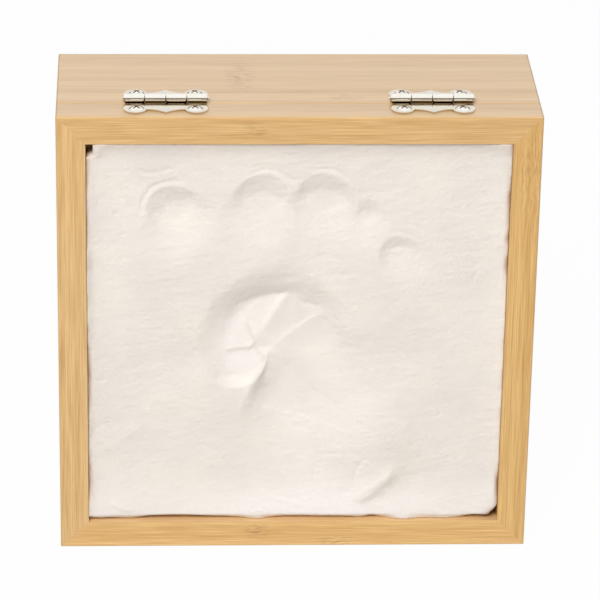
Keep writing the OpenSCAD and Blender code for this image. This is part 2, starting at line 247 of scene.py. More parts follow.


# Plaster: clouds of tone, a fine grain with specks, painted light that makes parts of the print paler, and
# stains with painted shade
CLOUDS = dict(scale=45.0, detail=4.0, rough=0.6)
CLOUD_RANGE = (0.35, 0.65)
GRAIN = dict(scale=900.0, detail=4.0, rough=0.7)
GRAIN_BUMP = dict(distance=0.29 * MM, strength=0.8)
SPECK_RANGE = (0.70, 0.80)
SPECK_SHARES = (0.0, 0.25)
PLASTER_ROUGH = (0.78, 0.9)
PLASTER_COOL = srgb(233, 226, 218)
PLASTER_WARM = srgb(239, 231, 221)
PLASTER_PAINTED_LIGHT = srgb(247, 241, 236)
PLASTER_SPECK = srgb(205, 192, 178)
PLASTER_STAIN_AND_SHADE = srgb(178, 138, 116)


def plaster_material():
    material, tree = new_material("plaster")
    place = tree.place()
    clouds = tree.noise(place, **CLOUDS)
    grain = tree.noise(place, **GRAIN)
    base = tree.mix(tree.spread(clouds, *CLOUD_RANGE), PLASTER_COOL, PLASTER_WARM)
    # Painted light: the pad, toe floors, sole, heel and slab foot are mixed towards a paler colour
    pressed = tree.mix(tree.attribute("pressed"), base, PLASTER_PAINTED_LIGHT)
    speckled = tree.mix(tree.spread(grain, *SPECK_RANGE, *SPECK_SHARES), pressed, PLASTER_SPECK)
    tree.finish_surface(
        # Stains and painted shade are mixed into the colour
        Base__Color=tree.mix(tree.attribute("stain_and_shade"), speckled, PLASTER_STAIN_AND_SHADE),
        Roughness=tree.spread(clouds, *NOISE_RANGE, *PLASTER_ROUGH),
        Normal=tree.bump(grain, **GRAIN_BUMP),
    )
    return material


# Nickel, with painted shade where parts meet, warm brown and then dark, and leaves that are duller than the
# barrels above them and carry a painted shade
HAZE = dict(scale=420.0, detail=3.0, rough=0.6)
HAZE_ROUGH = (0.8, 1.2)
HAZE_BUMP = dict(distance=0.05 * MM, strength=0.25)
SHADE_REACH = 2.2 * MM
SHADE_SAMPLES = 16
WARM_SHADE_RANGE = (0.40, 0.82)
DARK_SHADE_RANGE = (0.08, 0.36)
LEAF_THICKNESS = 0.7 * MM
LEAF_TO_BARREL = 0.5 * MM
LEAF_SHADE = 0.16
LEAF_ROUGH = 0.13
BARREL_ROUGH = 0.06
NICKEL_WARM = srgb(247, 242, 231)
NICKEL_PALE = srgb(252, 249, 242)
NICKEL_WARM_SHADE = srgb(186, 158, 112)
NICKEL_DARK_SHADE = srgb(92, 76, 54)


def nickel_material():
    material, tree = new_material("nickel")
    _, board_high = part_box("body_top_board")
    leaf_top = board_high.z + LEAF_THICKNESS
    step = (leaf_top, leaf_top + LEAF_TO_BARREL)
    height = tree.split(tree.place())["Z"]
    haze = tree.noise(tree.place(), **HAZE)
    bright = tree.mix(tree.spread(haze, *NOISE_RANGE), NICKEL_WARM, NICKEL_PALE)
    # Painted shade: the leaves, below the barrels, are mixed towards a warm dark colour
    bright = tree.mix(tree.spread(height, *step, LEAF_SHADE, 0.0), bright, NICKEL_WARM_SHADE)
    # Painted shade where parts meet: warm brown near them, dark deepest in
    occlusion = tree.add("ShaderNodeAmbientOcclusion", {"Distance": SHADE_REACH}, samples=SHADE_SAMPLES)
    open_share = occlusion.outputs["AO"]
    warm_shaded = tree.mix(tree.spread(open_share, *WARM_SHADE_RANGE), NICKEL_WARM_SHADE, bright)
    polish = tree.spread(height, *step, LEAF_ROUGH, BARREL_ROUGH)
    tree.finish_surface(
        Base__Color=tree.mix(tree.spread(open_share, *DARK_SHADE_RANGE), NICKEL_DARK_SHADE, warm_shaded),
        Metallic=1.0,
        Roughness=tree.times(polish, tree.spread(haze, *NOISE_RANGE, *HAZE_ROUGH)),
        Normal=tree.bump(haze, **HAZE_BUMP),
    )
    return material


# Magnets, with upright brush lines, in cycles a metre
BRUSHED = (2500.0, 2500.0, 120.0)
MAGNET_ROUGH = (0.28, 0.42)
MAGNET_DEEP = srgb(170, 170, 172)
MAGNET_PALE = srgb(205, 205, 206)


def magnet_material():
    material, tree = new_material("magnet")
    brushed = tree.noise(tree.vector("MULTIPLY", tree.place(), BRUSHED))
    tree.finish_surface(
        Base__Color=tree.mix(brushed, MAGNET_DEEP, MAGNET_PALE),
        Metallic=1.0,
        Roughness=tree.spread(brushed, *NOISE_RANGE, *MAGNET_ROUGH),
    )
    return material


# Plaster relief: every length in millimetres from the middle of the slab's face, angles in degrees
# Toes: a round tip, sharp towards one side, and a floor that climbs out of it, open below
TOES = (
    dict(x=-42.2, z=45.9, r=10.2, wall=8.5, depth=2.3, lean=20.0, run=25.0, sharp=116.0, blur=0.9),
    dict(x=-12.4, z=49.8, r=10.4, wall=8.0, depth=2.1, lean=6.0, run=32.0, sharp=84.0, blur=1.0),
    dict(x=8.6, z=50.0, r=10.4, wall=8.0, depth=2.0, lean=8.0, run=25.0, sharp=88.0, blur=1.0),
    dict(x=23.6, z=43.4, r=8.6, wall=7.0, depth=1.3, lean=26.0, run=13.0, sharp=78.0, blur=6.0),
    dict(x=35.0, z=30.0, r=7.6, wall=6.0, depth=1.5, lean=38.0, run=19.0, sharp=124.0, blur=2.6),
)
# From a toe's sharp side to the far one: where it turns, in radii, and how it widens, opens and softens
TOE_TURN = (0.7, -0.7)
TOE_WIDENS = 0.6
TOE_OPENS = 0.3
TOE_SOFTENS = 1.6
TOE_LIP = 0.2
TOE_BOWL = 1.4
# Lines along the toes' rims, where the plaster was pushed up
GROOVES = (
    dict(x=-42.0, z=46.4, r=11.5, middle=132.0, half=50.0, depth=0.42, width=0.8),
    dict(x=-11.4, z=50.0, r=11.8, middle=72.0, half=38.0, depth=0.44, width=0.9),
    dict(x=-11.4, z=50.0, r=13.6, middle=92.0, half=26.0, depth=0.26, width=0.7),
    dict(x=9.2, z=50.2, r=12.1, middle=82.0, half=34.0, depth=0.42, width=0.9),
    dict(x=9.2, z=50.2, r=13.9, middle=86.0, half=24.0, depth=0.22, width=0.6),
    dict(x=24.6, z=44.0, r=9.6, middle=92.0, half=30.0, depth=0.14, width=0.8),
    dict(x=34.8, z=31.6, r=7.2, middle=80.0, half=38.0, depth=0.24, width=0.7),
    dict(x=36.6, z=32.0, r=9.6, middle=66.0, half=24.0, depth=0.16, width=0.6),
)
# Folds of the pad and the lump at the heel: the face climbs to the line, drops across it and climbs back
UPPER_FOLD = ((15.0, 8.6), (10.0, 6.4), (4.6, 3.8), (-3.6, -3.0), (-10.4, -9.4))
LOWER_FOLD = ((-3.6, -3.0), (-10.4, -9.4), (-13.8, -16.2), (-18.4, -26.0), (-19.4, -31.0))
FOLD_SIDE = ((80.0, 36.0), (30.0, 15.0), *UPPER_FOLD, *LOWER_FOLD[2:], (-21.0, -55.0), (-22.0, -90.0))
INNER_FOLD = ((-3.4, 15.2), (-8.0, 7.6), (-11.6, 0.4), (-14.4, -5.0))
STAR_UP = ((-18.4, 4.0), (-16.4, -0.4), (-14.2, -4.8))
STAR_LEFT = ((-13.6, -6.8), (-19.0, -6.8), (-25.4, -7.6))
STAR_DOWN = ((-14.6, -3.6), (-13.8, -7.2), (-10.0, -10.2))
FOLDS = (
    dict(line=UPPER_FOLD,
         rise=0.46, run_up=1.2, drop=0.0, run_down=9.0, width=5.0, crest=0.5, fall=4.0, fade=0.32),
    dict(line=LOWER_FOLD,
         rise=0.60, run_up=3.0, drop=1.2, run_down=16.0, width=11.0, crest=1.0, fall=6.5, fade=0.25),
    dict(line=INNER_FOLD,
         rise=0.10, run_up=2.4, drop=0.9, run_down=12.0, width=5.0, crest=0.6, fall=2.0, fade=0.4),
    dict(line=STAR_UP,
         rise=0.40, run_up=1.2, drop=0.25, run_down=2.5, width=1.0, crest=0.7, fade=0.2),
    dict(line=STAR_LEFT,
         rise=0.40, run_up=1.4, drop=0.15, run_down=4.0, width=1.2, crest=0.7, fade=0.2),
    dict(line=STAR_DOWN,
         rise=0.40, run_up=1.2, drop=0.2, run_down=2.5, width=1.0, crest=0.8, fade=0.2),
    dict(line=((34.6, -50.4), (32.8, -54.8), (28.8, -58.8), (24.6, -61.8), (19.6, -63.6)),
         rise=1.7, run_up=7.0, drop=1.0, run_down=11.0, width=6.0, crest=2.0, fall=2.8, fade=0.3),
    dict(line=((-48.0, -33.0), (-57.0, -38.6), (-64.0, -42.6), (-71.0, -46.0)),
         rise=0.32, run_up=5.0, drop=0.1, run_down=4.0, width=2.5, crest=2.6, fade=0.4),
    dict(line=((-61.0, -52.0), (-64.0, -45.0), (-70.0, -37.0)),
         rise=0.42, run_up=4.0, drop=0.1, run_down=4.0, width=2.5, crest=2.2, fade=0.4),
    dict(line=((-8.0, -63.8), (-3.0, -65.2), (3.4, -66.6)),
         rise=0.3, run_up=2.5, drop=0.1, run_down=2.0, width=0.9, crest=0.9, fade=0.3),
    dict(line=((-56.0, -69.6), (-60.0, -67.4), (-65.0, -64.8)),
         rise=0.5, run_up=2.0, drop=0.1, run_down=2.0, width=0.9, crest=0.9, fade=0.3),
)
# Thin lines scratched or folded into the face
CREASES = (
    dict(line=((-56.1, 64.4), (-54.1, 62.2), (-51.4, 61.1), (-41.9, 62.9)), depth=0.25, width=0.7),
    dict(line=((26.0, -46.6), (22.4, -51.6), (21.2, -56.0), (21.4, -63.0)), depth=0.30, width=0.8),
    dict(line=((6.0, -47.0), (14.0, -46.6), (21.0, -45.4)), depth=0.18, width=0.9),
    dict(line=((0.4, 10.0), (4.6, 9.6), (9.0, 7.2)), depth=0.4, width=1.3),
)
CREASE_FADE = 0.35
# Soft dents and swells: half widths and height, negative for a dent
SWELLS = (
    dict(x=-3.0, z=21.6, wide=4.6, tall=2.6, height=-0.5),
    dict(x=-9.6, z=29.0, wide=10.0, tall=6.0, height=0.3),
    dict(x=-18.5, z=-9.3, wide=7.0, tall=2.6, height=-0.35),
    dict(x=6.0, z=-62.0, wide=16.0, tall=6.0, height=0.4),
    dict(x=42.0, z=-55.0, wide=6.0, tall=10.0, height=-0.7),
    dict(x=-22.0, z=-17.0, wide=1.8, tall=1.2, height=-0.35),
    dict(x=-10.0, z=-44.0, wide=8.0, tall=12.0, height=-0.9),
    dict(x=60.0, z=-58.0, wide=9.0, tall=12.0, height=0.7),
    dict(x=-55.0, z=-61.0, wide=14.0, tall=8.0, height=0.4),
)
# Small round holes: those placed one by one, and the rest at random, whose sizes are shares of the first
PITS = ((61.6, 26.1), (61.4, 22.3), (-34.8, -6.6), (51.0, 52.4), (16.1, 22.4), (-27.1, -17.5), (-62.3, 46.0))
PIT_R = 0.9
PIT_LEAST_SHARE = 0.4
PIT_DEPTH = 0.32
SMALL_PITS = 60
SMALL_PIT_REACH = 70.0
SMALL_PIT_SIZES = (0.15, 0.6)
PIT_SEED = 5
# Strokes: faint lines drawn by the hand that smoothed the plaster, most of them level
STROKES = 40
STROKE_X = (-60.0, 50.0)
STROKE_Z = (-60.0, 64.0)
STROKE_REACH = (4.0, 11.0)
STROKE_SLANT = (4.0, 9.0)
STROKE_BOW = (-0.8, 0.8)
STROKE_DEPTH = (0.03, 0.09)
STROKE_WIDTH = (0.4, 0.8)
STROKE_SEED = 11
# Ball of the print: a round wall from its left over its top, and a pad that climbs out of it
BALL_X, BALL_Z, BALL_R = -7.0, -3.0, 27.5
BALL_WALL = 10.0
BALL_DEPTH = 4.5
BALL_BEND = 1.5
BALL_MOST = 2.0
WALL_ANGLES = (-33.0, 13.0, 172.0, 216.0)
PAD_ANGLES = (174.0, 212.0, 244.0, 268.0)
PAD_R = 26.2
PAD_TRIM = 8.0
PAD_TRIM_ANGLE = 214.0
PAD_TRIM_RUN = 28.0
PAD_TRIM_MOST = 1.3
PAD_EDGE_SLOPE = 0.50
PAD_LOW_Z = -20.0
PAD_LOW_DEPTH = 1.7
PAD_SLOPE = 0.15
PAD_BEND = 64.0
PAD_PAST_FOLD = 12.0
# Narrow band of the pad, right of the inner fold: its left and lower ends, and how much of the drop it takes
BAND_LEFT = (-1.0, 1.5)
BAND_LOW = (-10.0, -6.0)
BAND_LOW_PAST_FOLD = (-15.0, -1.0)
BAND_PAST_FOLD = 3.0
BAND_DROP = 0.85
# Way out of the ball below and on its right, less deep on the left of the heel
OPEN_R = 70.0
OPEN_SLOPE = 0.080
OPEN_LOW = (-60.0, -24.0)
OPEN_LESS = 0.5
OPEN_LESS_X = (2.0, -12.0)
OPEN_LESS_Z = (-18.0, -32.0)
# Rounding at the foot of the wall: all round, more on its left and its right, and at the way out
FOOT_ROUND = 0.9
LEFT_ROUND = 1.6
LEFT_ROUND_ANGLES = (115.0, 165.0, 185.0, 225.0)
RIGHT_ROUND = 1.6
RIGHT_ROUND_ANGLES = (80.0, 40.0)
OPEN_ROUND = 1.2
# Sole: its depth at one height, and a low swell that widens downwards and falls away on its right
SOLE_DEPTH = 4.2
SOLE_DEPTH_Z = -10.0
SOLE_SLOPE = -0.02
SOLE_RISE = 3.1
SOLE_LEFT = (-8.0, 32.0)
SOLE_RIGHT = 29.0
SOLE_WIDENS = 7.6
SOLE_WIDENS_Z = (-5.0, -33.0)
SOLE_HEIGHTS = (-66.0, -36.0, -34.0, -4.0)
SOLE_FALL = 8.5
SOLE_BEND = 2.0
# Rise of the face towards the slab's edges, and the height that nothing passes
TOP_RISE = 2.2
TOP_RUN = 6.0
LEFT_RISE = 2.2
RIGHT_RISE = 1.3
SIDE_RUN = 3.4
LOW_RISE = 2.0
LOW_RUN = 20.0
FRONT_LIMIT = 2.65
FRONT_ROUND = 0.3
# Texture: broad waves, soft mottling and grit, with the size of their grains, calmer in the ball
TEXTURE = (
    dict(height=0.40, length=34.0, width=26.0, turn=20.0, octaves=2, seed=1.7),
    dict(height=0.09, length=16.0, width=5.0, turn=8.0, octaves=3, seed=5.3),
    dict(height=0.10, length=7.0, width=3.0, turn=8.0, octaves=3, seed=6.1),
    dict(height=0.09, length=2.2, width=1.1, turn=10.0, octaves=3, seed=9.1),
)
PRINT_CALM = 0.6
PRINT_CALM_RUN = 8.0
# Waver of the print's lines, with one seed for each direction
WAVER = (
    dict(height=0.7, length=11.0, width=11.0, turn=0.0, octaves=2),
    dict(height=0.25, length=3.2, width=3.2, turn=0.0, octaves=2),
)
WAVER_SEED_X = 2.3
WAVER_SEED_Z = 7.9
FRACTAL_ROUGH = 0.9
FRACTAL_STEP = 2.1


def smooth(t):
    """0 up to 0, 1 from 1 on, and an even curve between them."""
    t = np.clip(t, 0.0, 1.0)
    return t * t * (3.0 - 2.0 * t)


def ramp(value, start, end):
    """Grows smoothly from 0 at the start to 1 at the end, which may be the lesser value."""
    return smooth((value - start) / (end - start))


def window(value, start, full, fading, end):
    """Grows from 0 at the start to 1, and falls to 0 again at the end."""
    return ramp(value, start, full) * ramp(value, end, fading)


def at_edge(inward, run):
    """1 at an edge, and 0 from a run inwards on."""
    return 1.0 - smooth(inward / run)


def bell(t):
    return np.exp(-t * t)


def spot(px, pz, x, z, r, height):
    return height * bell(np.hypot(px - x, pz - z) / r)


def swell(px, pz, x, z, wide, tall, height):
    return height * bell((px - x) / wide) * bell((pz - z) / tall)


def lower(a, b, soft):
    """The lesser of two, with the corner between them rounded."""
    h = np.clip(0.5 + 0.5 * (b - a) / soft, 0.0, 1.0)
    return b + (a - b) * h - soft * h * (1.0 - h)


def wave(px, pz, length, width, turn, octaves, seed, height=1.0):
    """Fractal noise up to about its height, with grains of a given length and width, turned by degrees."""
    a = math.radians(turn)
    along = (px * math.cos(a) + pz * math.sin(a)) / length
    across = (-px * math.sin(a) + pz * math.cos(a)) / width
    places = zip(along.ravel(), across.ravel())
    values = [noise.fractal((u, v, seed), FRACTAL_ROUGH, FRACTAL_STEP, octaves) for u, v in places]
    return height * np.array(values).reshape(px.shape)


def toe_depth(px, pz, x, z, r, wall, depth, lean, run, sharp, blur):
    """Dent that falls off sharply on one side of its tip and softly elsewhere."""
    a = math.radians(lean)
    b = math.radians(sharp)
    dx = px - x
    dz = pz - z
    tip = -dx * math.sin(a) + dz * math.cos(a)
    away = ramp((dx * math.cos(b) + dz * math.sin(b)) / r, *TOE_TURN)
    inside = r * (1.0 + TOE_WIDENS * away) + TOE_OPENS * np.maximum(-tip, 0.0) - np.hypot(dx, dz)
    bowl = 1.0 - (1.0 - np.clip(inside / wall, 0.0, 1.0)) ** TOE_BOWL
    rim = smooth((inside + TOE_LIP) / (blur + TOE_SOFTENS * r * away))
    return depth * bowl * rim * ramp(tip, -run, r - wall)


def groove_depth(px, pz, x, z, r, middle, half, depth, width):
    """Shallow line along part of a circle."""
    d = np.hypot(px - x, pz - z) - r
    angle = (np.degrees(np.arctan2(pz - z, px - x)) - middle + 180.0) % 360.0 - 180.0
    return depth * bell(d / width) * bell((angle / half) ** 2)


def curve(points, steps=8):
    """Smooth line through a few points."""
    p = np.array(points, float)
    p = np.vstack([2 * p[0] - p[1], p, 2 * p[-1] - p[-2]])
    out = []
    for k in range(1, len(p) - 2):
        bend = 2 * p[k - 1] - 5 * p[k] + 4 * p[k + 1] - p[k + 2]
        twist = 3 * p[k] - p[k - 1] - 3 * p[k + 1] + p[k + 2]
        for t in np.arange(steps) / steps:
            out.append(0.5 * (2 * p[k] + (p[k + 1] - p[k - 1]) * t + bend * t * t + twist * t ** 3))
    out.append(p[-2])
    return np.array(out)


def beside(px, pz, line):
    """Distance to a curve, positive on the left of one who walks along it, and the share of its length."""
    points = curve(line)
    best = np.full(px.shape, np.inf)
    side = np.zeros(px.shape)
    share = np.zeros(px.shape)
    lengths = np.hypot(*(points[1:] - points[:-1]).T)
    before = 0.0
    for a, b, length in zip(points[:-1], points[1:], lengths):
        u = (b - a) / length
        dx = px - a[0]
        dz = pz - a[1]
        t = np.clip(dx * u[0] + dz * u[1], 0.0, length)
        d = np.hypot(dx - t * u[0], dz - t * u[1])
        near = d < best
        best = np.where(near, d, best)
        side = np.where(near, np.where(dz * u[0] - dx * u[1] > 0, 1.0, -1.0), side)
        share = np.where(near, (before + t) / lengths.sum(), share)
        before += length
    return best * side, share


def fade_ends(share, reach):
    return smooth(share / reach) * smooth((1.0 - share) / reach)


def fold_height(px, pz, line, rise, run_up, drop, run_down, width, crest, fade, fall=None):
    """Step in the surface: it climbs towards the line on one side, drops across it, then climbs back."""
    d, share = beside(px, pz, line)
    past = np.maximum(d, 0.0)
    short = np.minimum(d, 0.0)
    before = 0.5 * rise * (np.exp(short / run_up) + np.exp(short / crest)) * bell(past / (fall or crest))
    after = drop * (1.0 - bell(past / width)) * np.exp(-past / run_down)
    return (before - after) * fade_ends(share, fade)


def crease_depth(px, pz, line, depth, width):
    d, share = beside(px, pz, line)
    return depth * bell(d / width) * fade_ends(share, CREASE_FADE)


def band_share(px, pz):
    """Where the pad's narrow band lies, right of the inner fold."""
    past_inner, _ = beside(px, pz, INNER_FOLD)
    past_fold, _ = beside(px, pz, FOLD_SIDE)
    past = ramp(past_fold, 0.0, BAND_PAST_FOLD)
    above = (1.0 - past) * ramp(pz, *BAND_LOW) + past * ramp(pz, *BAND_LOW_PAST_FOLD)
    return ramp(past_inner, *BAND_LEFT) * above


def ball_floor(px, pz, past_pad):
    """Depth of the pad, with its band, and of the sole past the fold."""
    up = np.clip(pz - PAD_LOW_Z, 0.0, PAD_BEND)
    pad = PAD_LOW_DEPTH + PAD_SLOPE * up * (1.0 - 0.5 * up / PAD_BEND)
    sole = SOLE_DEPTH + SOLE_SLOPE * (pz - SOLE_DEPTH_Z)
    return pad + (sole - pad) * (past_pad + (1.0 - past_pad) * BAND_DROP * band_share(px, pz))


def ball_depth(px, pz):
    """Depth of the ball: the wall's shoulder is round and its foot sharp, where the pad starts to climb."""
    dx = px - BALL_X
    dz = pz - BALL_Z
    r = np.hypot(dx, dz)
    angle = np.degrees(np.arctan2(dz, dx)) % 360.0
    angle = np.where(angle > 270.0, angle - 360.0, angle)
    past_fold, _ = beside(px, pz, FOLD_SIDE)
    past_pad = ramp(past_fold, 0.0, PAD_PAST_FOLD)
    walled = window(angle, *WALL_ANGLES)
    padded = window(angle, *PAD_ANGLES) * (1.0 - walled) * (1.0 - past_pad)
    wall = BALL_DEPTH * np.clip((BALL_R - r) / BALL_WALL, 0.0, BALL_MOST) ** BALL_BEND
    trim = PAD_TRIM * np.clip((angle - PAD_TRIM_ANGLE) / PAD_TRIM_RUN, 0.0, PAD_TRIM_MOST) ** 2
    pad_edge = PAD_EDGE_SLOPE * np.maximum(PAD_R - trim - r, 0.0)
    way_out = OPEN_SLOPE * np.maximum(OPEN_R - r, 0.0) * ramp(pz, *OPEN_LOW)
    way_out *= 1.0 - OPEN_LESS * ramp(pz, *OPEN_LESS_Z) * ramp(px, *OPEN_LESS_X)
    edge = wall * walled + pad_edge * padded + way_out * (1.0 - walled - padded)
    foot = FOOT_ROUND + LEFT_ROUND * window(angle, *LEFT_ROUND_ANGLES)
    foot += RIGHT_ROUND * ramp(angle, *RIGHT_ROUND_ANGLES) * walled + OPEN_ROUND * past_pad * (1.0 - walled)
    return np.maximum(lower(edge, ball_floor(px, pz, past_pad), foot), 0.0)


def sole_height(px, pz):
    """Low swell of the sole, which falls away on its right."""
    right = SOLE_RIGHT + SOLE_WIDENS * ramp(pz, *SOLE_WIDENS_Z)
    past = SOLE_BEND * np.logaddexp(0.0, (px - right) / SOLE_BEND)
    return SOLE_RISE * ramp(px, *SOLE_LEFT) * np.exp(-past / SOLE_FALL) * window(pz, *SOLE_HEIGHTS)


def strokes():
    """Lines of the smoothing hand, drawn at random in a fixed order."""
    chance = np.random.default_rng(STROKE_SEED)
    lines = []
    for _ in range(STROKES):
        x = chance.uniform(*STROKE_X)
        z = chance.uniform(*STROKE_Z)
        reach = chance.uniform(*STROKE_REACH)
        rise = math.tan(math.radians(chance.normal(*STROKE_SLANT))) * reach
        bow = chance.uniform(*STROKE_BOW)
        depth = chance.uniform(*STROKE_DEPTH)
        width = chance.uniform(*STROKE_WIDTH)
        points = ((x - reach, z - rise), (x, z + bow), (x + reach, z + rise))
        lines.append(dict(line=points, depth=depth, width=width))
    return lines


def pit_depth(px, pz):
    """Small round holes, some placed and the rest at random."""
    chance = np.random.default_rng(PIT_SEED)
    random_pits = chance.uniform(-SMALL_PIT_REACH, SMALL_PIT_REACH, (SMALL_PITS, 2))
    random_sizes = chance.uniform(*SMALL_PIT_SIZES, SMALL_PITS)
    sizes = np.concatenate([np.ones(len(PITS)), random_sizes])
    depth = np.zeros(px.shape)
    for (x, z), size in zip([*PITS, *random_pits], sizes):
        r = PIT_R * (PIT_LEAST_SHARE + (1.0 - PIT_LEAST_SHARE) * size)
        depth += spot(px, pz, x, z, r, PIT_DEPTH * size)
    return depth


def relief(px, pz, half):
    """Height of the face above its plane, out towards the front."""
    wx = px + sum(wave(px, pz, seed=WAVER_SEED_X, **w) for w in WAVER)
    wz = pz + sum(wave(px, pz, seed=WAVER_SEED_Z, **w) for w in WAVER)
    dents = [toe_depth(wx, wz, **t) for t in TOES] + [ball_depth(wx, wz)]
    height = sole_height(wx, wz) - np.cbrt(sum(d ** 3 for d in dents))
    height += LOW_RISE * at_edge(pz + half, LOW_RUN) + TOP_RISE * np.exp((pz - half) / TOP_RUN)
    height += LEFT_RISE * np.exp(-(px + half) / SIDE_RUN) + RIGHT_RISE * np.exp((px - half) / SIDE_RUN)
    height += sum(fold_height(wx, wz, **f) for f in FOLDS)
    height += sum(swell(wx, wz, **s) for s in SWELLS)
    height -= sum(groove_depth(wx, wz, **g) for g in GROOVES)
    height -= sum(crease_depth(wx, wz, **c) for c in CREASES)
    height -= sum(crease_depth(px, pz, **s) for s in strokes())
    calm = 1.0 - PRINT_CALM * smooth((BALL_R - np.hypot(px - BALL_X, pz - BALL_Z)) / PRINT_CALM_RUN)
    height += calm * sum(wave(px, pz, **t) for t in TEXTURE)
    return lower(height - pit_depth(px, pz), FRONT_LIMIT, FRONT_ROUND)


# Painted light, a paler plaster colour: shares on the pad, the toes' floors, the sole and the heel, and
# along the slab's foot
PAD_PALE = 0.46
PAD_PALE_LESS = 0.26
PAD_PALE_LESS_Z = (0.0, 14.0)
PAD_PALE_EDGE = 8.0
PAD_PALE_FOLD = (1.0, -1.5)
TOE_PALE = 0.12
TOE_PALE_PLACE = 0.55
SOLE_PALE = dict(x=10.0, z=-24.0, r=28.0, height=0.14)
SOLE_PALE_FOLD = (0.0, 6.0)
HEEL_PALE = dict(x=13.0, z=-52.0, r=18.0, height=0.32)
LOW_PALE = 0.4
LOW_PALE_MORE = 0.5
LOW_PALE_X = 2.0
LOW_PALE_WIDE = 34.0
LOW_PALE_Z = (-55.0, -68.0)


def pressed_share(px, pz):
    """Where painted light makes the plaster paler."""
    past_fold, _ = beside(px, pz, FOLD_SIDE)
    r = np.hypot(px - BALL_X, pz - BALL_Z)
    share = (PAD_PALE - PAD_PALE_LESS * ramp(pz, *PAD_PALE_LESS_Z)) * ramp(r, PAD_R, PAD_R - PAD_PALE_EDGE)
    share *= (1.0 - band_share(px, pz)) * ramp(past_fold, *PAD_PALE_FOLD)
    for t in TOES:
        a = math.radians(t["lean"])
        along = TOE_PALE_PLACE * t["run"]
        share += spot(px, pz, t["x"] + along * math.sin(a), t["z"] - along * math.cos(a), t["r"], TOE_PALE)
    share += spot(px, pz, **SOLE_PALE) * ramp(past_fold, *SOLE_PALE_FOLD) + spot(px, pz, **HEEL_PALE)
    low = LOW_PALE + LOW_PALE_MORE * bell((px - LOW_PALE_X) / LOW_PALE_WIDE)
    return np.clip(share + low * ramp(pz, *LOW_PALE_Z), 0.0, 1.0)


# Slab: the grid's squares each way, the face's place behind the rails' front, and its fit between the rails
GRID = 290
FACE_RECESS = 2.75
RAIL_GAP = 0.1
# Lower edge: how far behind the rails' front the plaster meets the ledge, and the waves in it
LEDGE_DEPTH = 3.7
LEDGE_ROUND = 3.2
LEDGE_WAVES = (
    dict(x=-58.0, depth=-0.9, width=5.0),
    dict(x=-43.0, depth=2.6, width=8.5),
    dict(x=-13.5, depth=-2.0, width=6.0),
    dict(x=23.5, depth=-0.9, width=2.6),
    dict(x=28.0, depth=0.6, width=2.2),
    dict(x=39.0, depth=-2.4, width=7.0),
    dict(x=53.0, depth=-1.9, width=8.5),
    dict(x=68.0, depth=2.6, width=5.0),
)
# Raggedness of the edges, and its share of them
RAGGED = dict(length=7.0, width=4.0, turn=90.0, octaves=3, seed=3.3)
LEDGE_RAGGED = 0.25
SIDE_RAGGED = 0.5
# Slits between the left rail and the plaster, and breaks in its right edge: place, half length, depth
LEFT_SLITS = ((61.0, 7.0, 1.6), (43.0, 9.0, 0.7), (-16.0, 13.0, 2.2), (-55.0, 9.0, 1.8))
RIGHT_SLITS = ((50.0, 8.0, 0.9), (36.0, 2.5, 0.8), (27.0, 4.5, 1.0), (-60.0, 5.0, 1.5))
LEFT_EDGE = dict(drop=0.3, run=2.8, slits=LEFT_SLITS)
RIGHT_EDGE = dict(drop=0.4, run=1.6, slits=RIGHT_SLITS)
# Corners that broke away: sides, size of the loss, the share of its height that is straight
LOST_CORNERS = (
    dict(side_x=-1, side_z=1, wide=2.4, tall=5.6, straight=0.75),
    dict(side_x=1, side_z=-1, wide=3.2, tall=6.6, straight=0.2),
)
CORNER_BLEND = 5.0
# Stains and painted shade: shares and reaches along the left (a stain and the rail's painted shade), the
# right (a stain and painted shade in its breaks) and the top (the rail's painted shade), at two corners
# (painted shadow in the lower lost corner, a stain at the upper one) and in the star of folds (painted shade
# in its creases)
PATCHES = dict(length=9.0, width=5.0, turn=90.0, octaves=2, seed=8.4, height=0.5)
LEFT_STAIN_AND_SHADE = 0.40
LEFT_STAIN_AND_SHADE_RUN = 3.4
RIGHT_STAIN_AND_SHADE = 0.30
RIGHT_STAIN_AND_SHADE_RUN = 2.6
TOP_SHADE = 0.20
TOP_SHADE_RUN = 7.0
LOW_CORNER_SHADE = dict(wide=3.0, tall=6.0, height=0.7)
HIGH_CORNER_STAIN = dict(wide=3.2, tall=17.0, height=0.30)
STAR_SHADE = 0.13
STAR_SHADE_WIDTH = 0.55
STAR_SHADE_FADE = 0.4


def slit_depth(pz, slits):
    return sum(depth * bell((pz - z) / half) for z, half, depth in slits)


def side_drop(inward, pz, ragged, drop, run, slits):
    fall = drop + SIDE_RAGGED * ragged + slit_depth(pz, slits)
    return np.maximum(fall * at_edge(inward, run) ** 2, 0.0)


def edge_drop(px, pz, half):
    """How far the face falls back at its edges: a wavy lower edge and ragged sides."""
    ragged = wave(px, pz, **RAGGED)
    swing = sum(w["depth"] * bell((px - w["x"]) / w["width"]) for w in LEDGE_WAVES)
    low = LEDGE_DEPTH - FACE_RECESS + LOW_RISE + swing + LEDGE_RAGGED * ragged
    left = side_drop(px + half, pz, ragged, **LEFT_EDGE)
    right = side_drop(half - px, pz, ragged, **RIGHT_EDGE)
    return low * at_edge(pz + half, LEDGE_ROUND) ** 2 + left + right


def pull_corner(px, pz, half, side_x, side_z, wide, tall, straight):
    """Moves a side in where its corner is lost."""
    near = at_edge(half - side_z * pz - straight * tall, (1.0 - straight) * tall)
    return px - side_x * wide * near * at_edge(half - side_x * px, CORNER_BLEND * wide)


